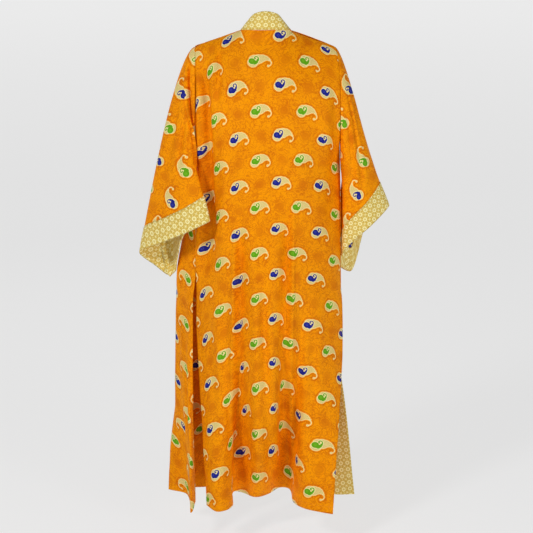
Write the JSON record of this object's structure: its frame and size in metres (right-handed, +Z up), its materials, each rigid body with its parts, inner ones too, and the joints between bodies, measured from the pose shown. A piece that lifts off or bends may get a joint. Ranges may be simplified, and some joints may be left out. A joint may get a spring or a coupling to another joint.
{
  "type": "kimono robe",
  "caption": "Full-length kimono robe hanging open as worn: straight back, two fronts, side slits, wide sleeves with contrast cuffs, and a contrast collar running on as front bands.",
  "frame": {"origin": "middle of the neck opening, level with the back neck seam, where the wearer's neck comes through", "axes": "+Z up along the wearer, the garment's front faces -Y and its back +Y, the wearer's left is +X"},
  "size_m": [0.6939, 0.3347, 1.3838],
  "materials": {
    "printed_cloth": "woven orange cloth with a soft sheen, tonal rings and scrolls and a half-drop of cream, navy and green paisleys",
    "trim_cloth": "woven mustard cloth with a small pale ring pattern, folded double"
  },
  "bodies": {
    "root": {"back_panel": "printed_cloth", "front_left": "printed_cloth", "front_right": "printed_cloth", "sleeve_left": "printed_cloth", "sleeve_right": "printed_cloth", "collar": "trim_cloth", "front_band_left": "trim_cloth", "front_band_right": "trim_cloth", "cuff_left": "trim_cloth", "cuff_right": "trim_cloth"}
  },
  "joints": []
}
